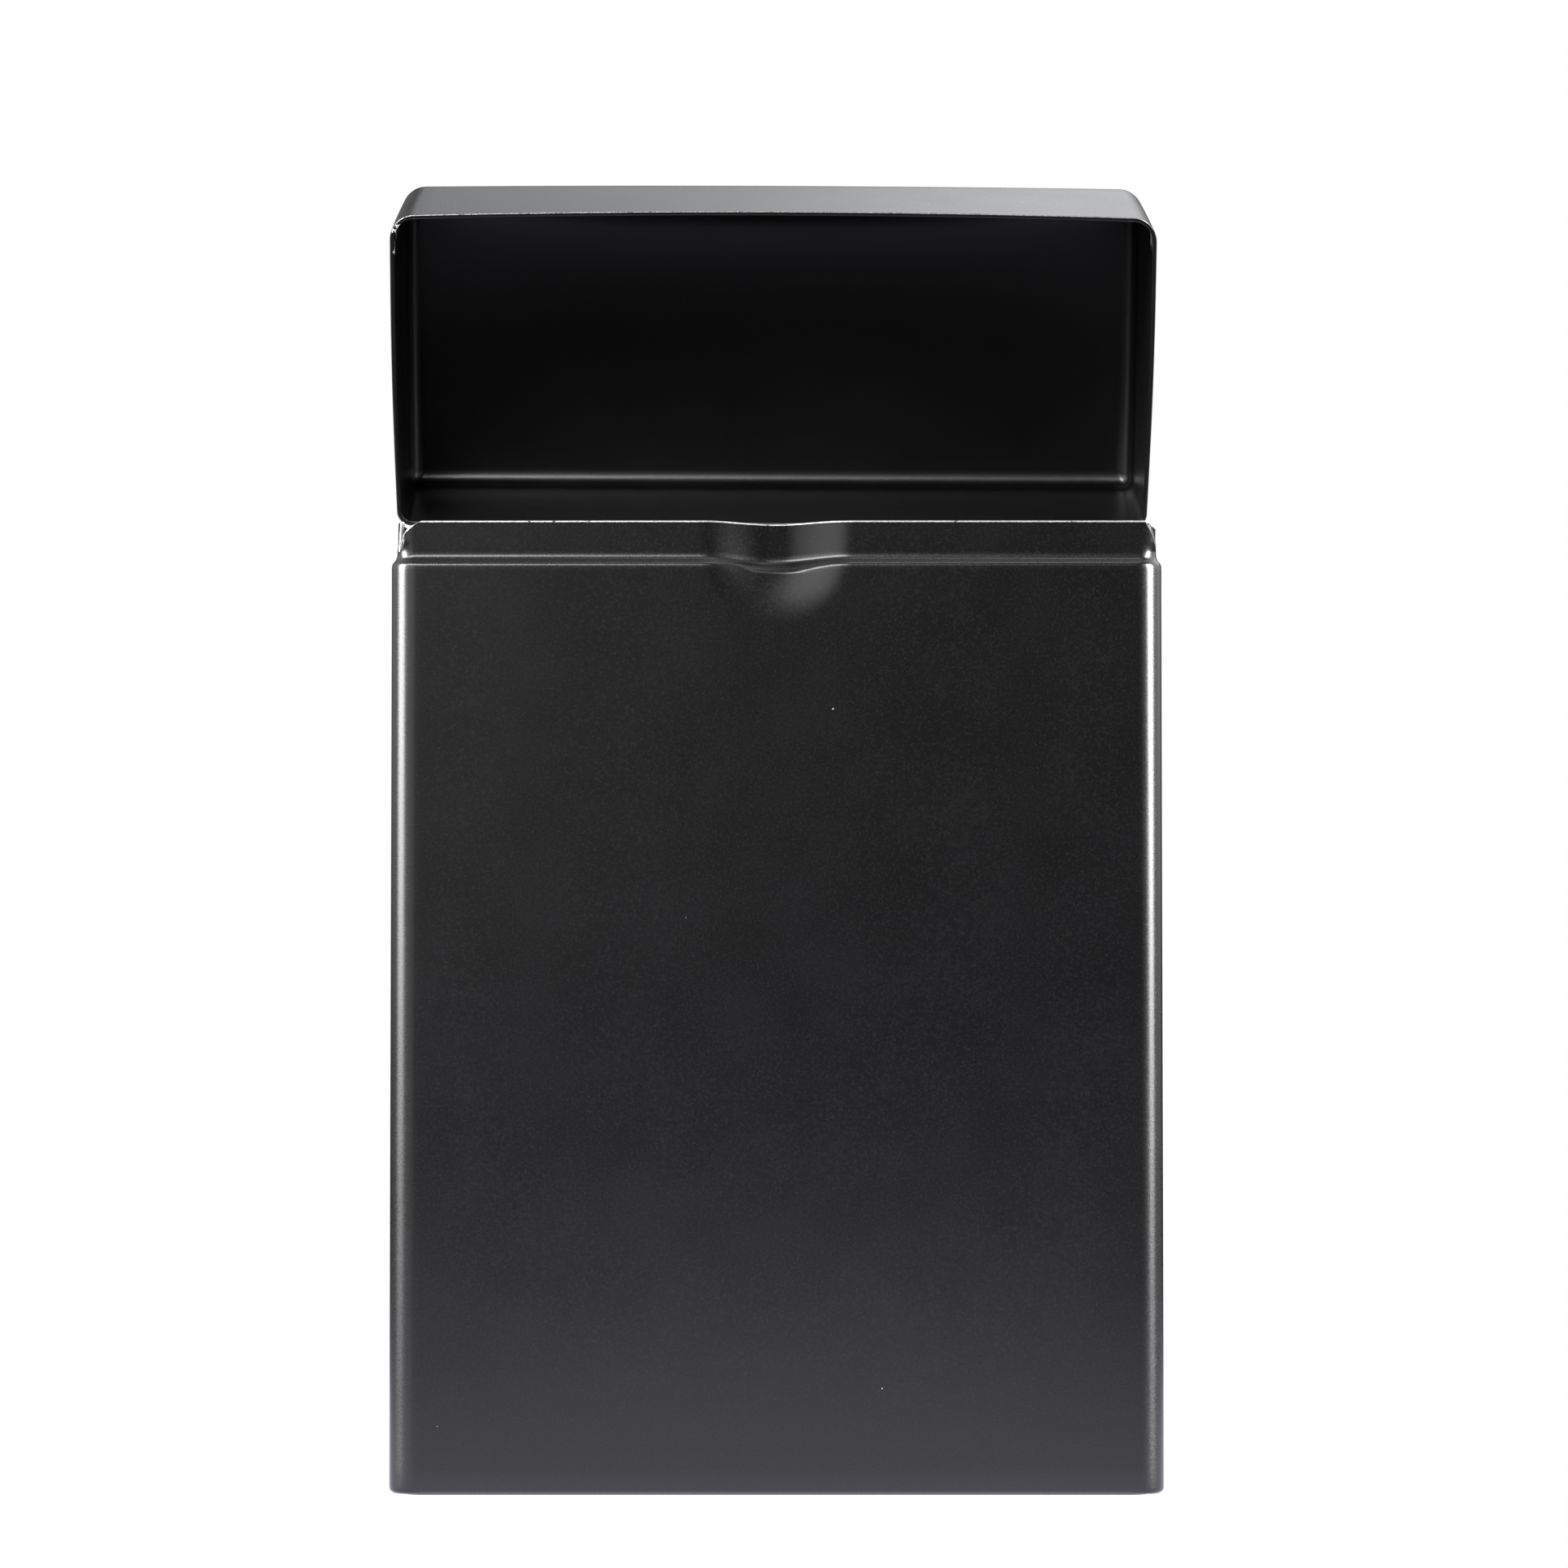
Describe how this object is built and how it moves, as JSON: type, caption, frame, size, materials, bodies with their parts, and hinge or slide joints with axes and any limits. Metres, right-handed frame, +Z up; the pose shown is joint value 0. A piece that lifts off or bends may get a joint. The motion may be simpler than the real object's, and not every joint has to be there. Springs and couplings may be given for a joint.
{
  "type": "flip-top cigarette pack case",
  "caption": "Pocket case in pressed black sheet steel with a stepped neck, a thumb recess and a pan-shaped lid on a riveted back hinge, shown open.",
  "frame": {"origin": "centre of the flat underside of the base pan", "axes": "+Z up from the base, +X to the right when the thumb recess faces the user, -Y the front, +Y the hinge side; the lid is modelled open"},
  "size_m": [0.0612, 0.0407, 0.1038],
  "materials": {
    "painted_sheet": "satin black powder-fine paint, rubbed to bright steel on the cut edges",
    "painted_hinge": "satin black paint",
    "painted_rivets": "satin black paint, slightly rubbed on the domes",
    "bright_steel": "drawn steel wire"
  },
  "bodies": {
    "case": {"body_shell": "painted_sheet", "base_pan": "painted_sheet", "body_hinge_leaf": "painted_hinge", "body_leaf_rivets": "painted_rivets", "hinge_pin": "bright_steel"},
    "lid": {"lid_shell": "painted_sheet", "lid_hinge_leaf": "painted_hinge", "lid_leaf_rivets": "painted_rivets"}
  },
  "joints": [
    {"name": "lid_hinge", "type": "hinge", "parent": "case", "child": "lid", "pos_m": [0, 0.0139, 0.07502], "axis": [-1, 0, 0], "range_deg": [-78, 0]}
  ]
}
